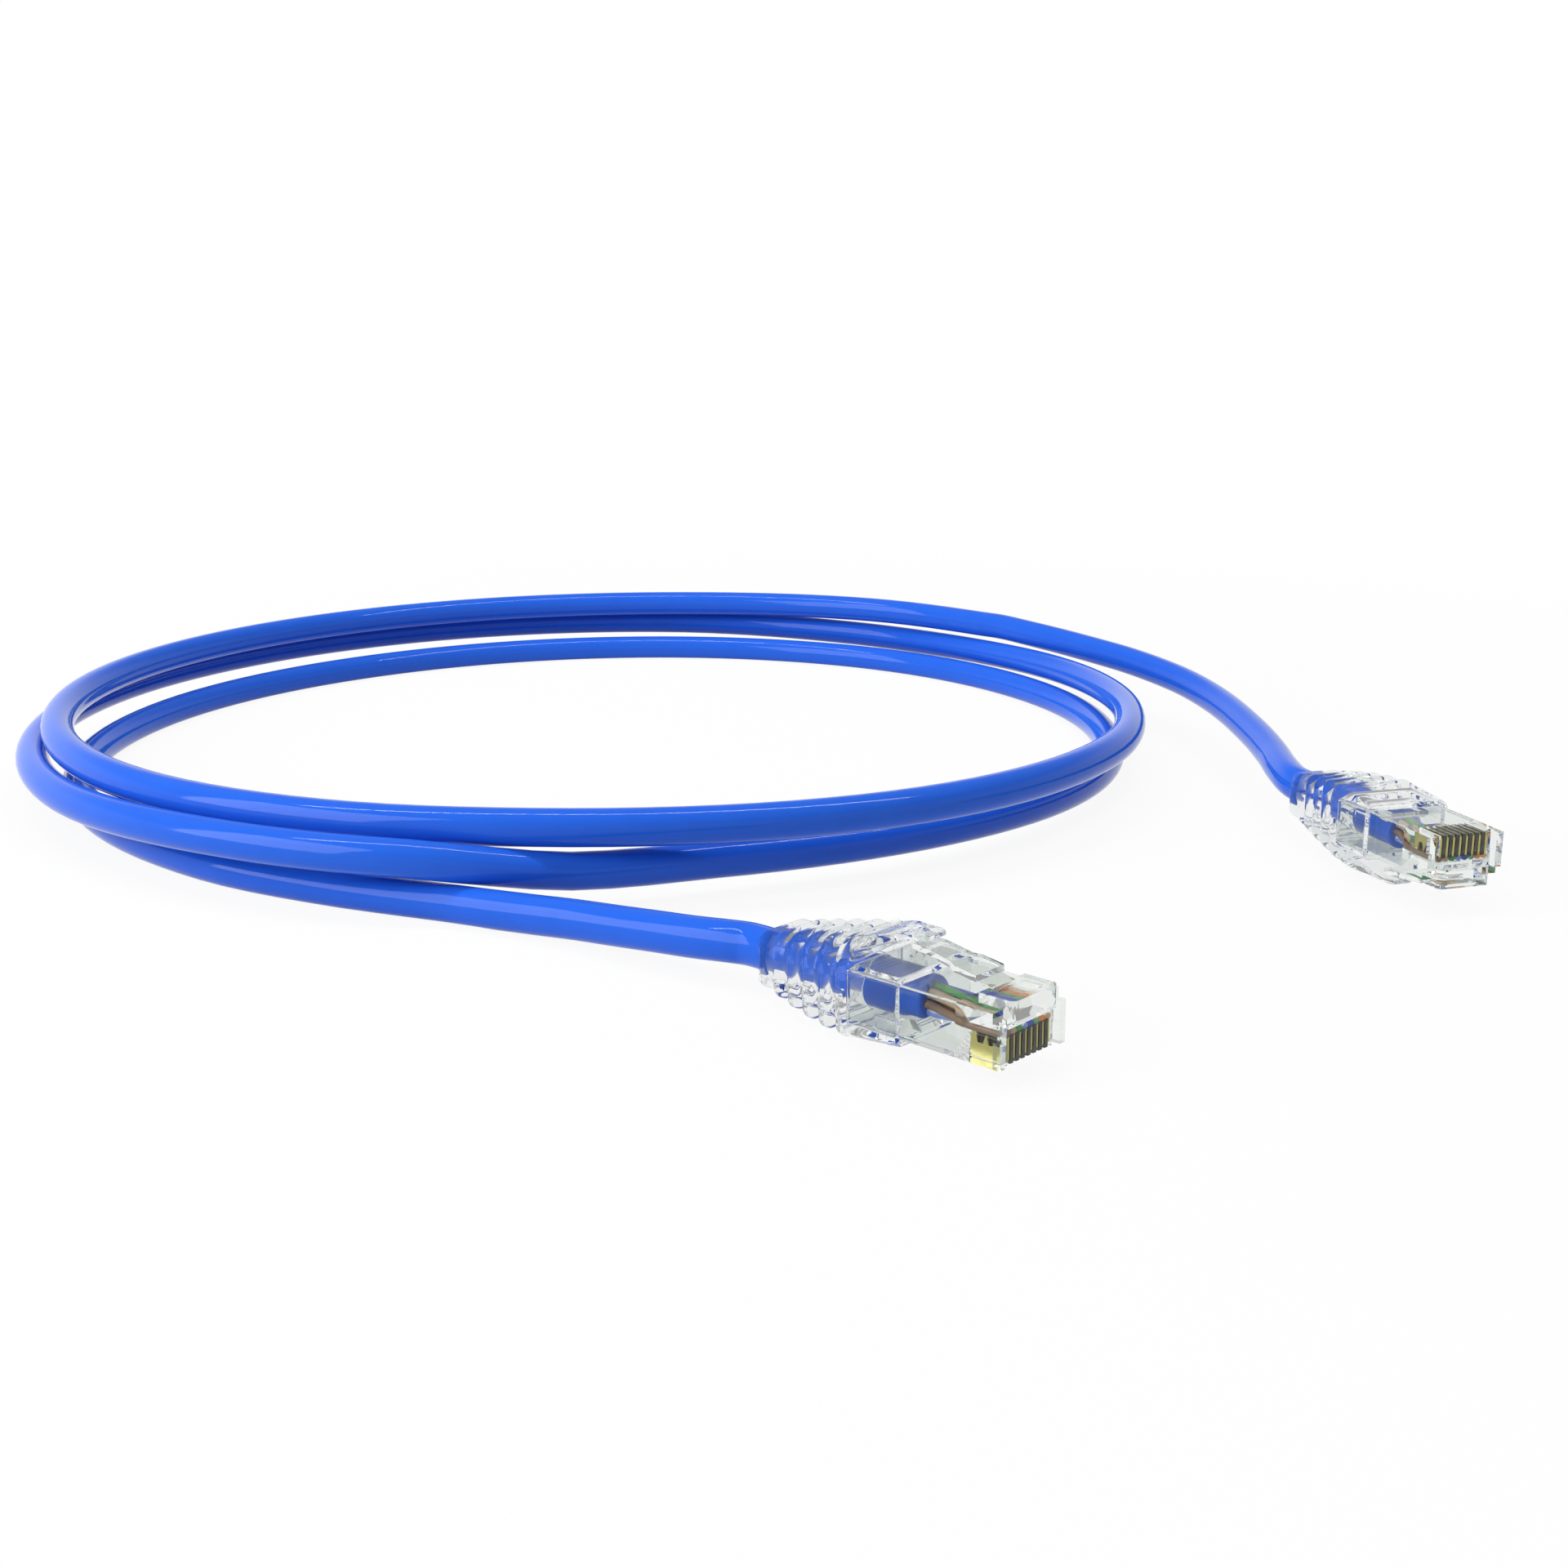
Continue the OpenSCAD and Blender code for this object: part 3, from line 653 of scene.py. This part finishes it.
# Lengths here are in metres
stage = {
    "radius": 3.0,
    "sides": 96,
    "under": 0.0002,     # the floor lies this far under the part
    "paint": 0.7,
    "paintRough": 0.9,
    "nearShade": 0.92,   # share of plain white next to the part, the rest is lit paint
    "fadeFrom": 0.16,
    "fadeTo": 0.42,      # from here on the floor is plain white
    "sky": 0.39,         # level at which the sky lights the part
    "overhead": 0.35,    # what gloss and clear plastic show straight above
    "whiteUpTo": 0.25,   # rise over the horizon, as a share of straight up
    "greyFrom": 0.5,
}
lamps = {
    "key": {"place": (-0.85, -0.45, 0.55), "size": (0.8, 0.8), "power": 11},
    "top": {"place": (0.0, 0.1, 1.1), "size": (1.6, 0.045), "power": 9},
}
lightTurns = 24  # clear plastic in clear plastic needs many turns of the light


def whiteRays(nodes, links):
    # One where the camera, a mirror or a lens looks, so that all of them show the same white
    paths = nodes.new("ShaderNodeLightPath")
    first, second = nodes.new("ShaderNodeMath"), nodes.new("ShaderNodeMath")
    first.operation = second.operation = "MAXIMUM"
    links.new(paths.outputs["Is Camera Ray"], first.inputs[0])
    links.new(paths.outputs["Is Glossy Ray"], first.inputs[1])
    links.new(first.outputs[0], second.inputs[0])
    links.new(paths.outputs["Is Transmission Ray"], second.inputs[1])
    return second.outputs[0]


def paleFloor():
    # A matt white that keeps a soft shadow near the part and fades into the backdrop
    material, nodes, links = newMaterial("paleFloor")
    shader = nodes["Principled BSDF"]
    shader.inputs["Base Color"].default_value = (stage["paint"], stage["paint"], stage["paint"], 1)
    shader.inputs["Roughness"].default_value = stage["paintRough"]
    shader.inputs["Specular IOR Level"].default_value = 0.0
    glow = nodes.new("ShaderNodeEmission")
    place = nodes.new("ShaderNodeTexCoord")
    reach = nodes.new("ShaderNodeVectorMath")
    reach.operation = "LENGTH"
    links.new(place.outputs["Object"], reach.inputs[0])
    fade = nodes.new("ShaderNodeMapRange")
    fade.interpolation_type = "SMOOTHSTEP"
    fade.inputs["From Min"].default_value = stage["fadeFrom"]
    fade.inputs["From Max"].default_value = stage["fadeTo"]
    fade.inputs["To Min"].default_value = stage["nearShade"]
    fade.inputs["To Max"].default_value = 1
    links.new(reach.outputs["Value"], fade.inputs["Value"])
    share = nodes.new("ShaderNodeMath")
    share.operation = "MULTIPLY"
    links.new(whiteRays(nodes, links), share.inputs[0])
    links.new(fade.outputs["Result"], share.inputs[1])
    either = nodes.new("ShaderNodeMixShader")
    links.new(share.outputs[0], either.inputs["Fac"])
    links.new(shader.outputs[0], either.inputs[1])
    links.new(glow.outputs[0], either.inputs[2])
    links.new(either.outputs[0], nodes["Material Output"].inputs["Surface"])
    return material


def paleSky(world):
    # An even grey for light; where it is seen, white round the horizon and greyer overhead
    world.use_nodes = True
    nodes, links = world.node_tree.nodes, world.node_tree.links
    mix = nodes.new("ShaderNodeMix")
    mix.data_type = "RGBA"
    mix.inputs["A"].default_value = (stage["sky"], stage["sky"], stage["sky"], 1)
    place = nodes.new("ShaderNodeTexCoord")
    parts = nodes.new("ShaderNodeSeparateXYZ")
    rise = nodes.new("ShaderNodeMapRange")
    rise.interpolation_type = "SMOOTHSTEP"
    rise.inputs["From Min"].default_value = stage["whiteUpTo"]
    rise.inputs["From Max"].default_value = stage["greyFrom"]
    rise.inputs["To Min"].default_value = 1
    rise.inputs["To Max"].default_value = stage["overhead"]
    links.new(place.outputs["Generated"], parts.inputs[0])
    links.new(parts.outputs["Z"], rise.inputs["Value"])
    links.new(rise.outputs["Result"], mix.inputs["B"])
    links.new(whiteRays(nodes, links), mix.inputs["Factor"])
    links.new(mix.outputs["Result"], nodes["Background"].inputs["Color"])


floorShape = bmesh.new()
bmesh.ops.create_circle(floorShape, cap_ends=True, segments=stage["sides"], radius=stage["radius"])
floorMesh = bpy.data.meshes.new("floor")
floorShape.to_mesh(floorMesh)
floorShape.free()
floor = bpy.data.objects.new("floor", floorMesh)
floor.location.z = -stage["under"]
floorMesh.materials.append(paleFloor())
bpy.context.scene.collection.objects.link(floor)

studio = bpy.data.worlds.new("studio")
bpy.context.scene.world = studio
paleSky(studio)

for lampName, lamp in lamps.items():
    data = bpy.data.lights.new(lampName, "AREA")
    data.shape = "RECTANGLE"
    data.size, data.size_y = lamp["size"]
    data.energy = lamp["power"]
    light = bpy.data.objects.new(lampName, data)
    light.location = lamp["place"]
    light.rotation_euler = (-Vector(lamp["place"])).to_track_quat("-Z", "Y").to_euler()
    bpy.context.scene.collection.objects.link(light)

bounces = bpy.context.scene.cycles
bounces.max_bounces = bounces.glossy_bounces = bounces.transmission_bounces = lightTurns
bpy.context.scene.view_settings.view_transform = "Standard"
print("stage lit")
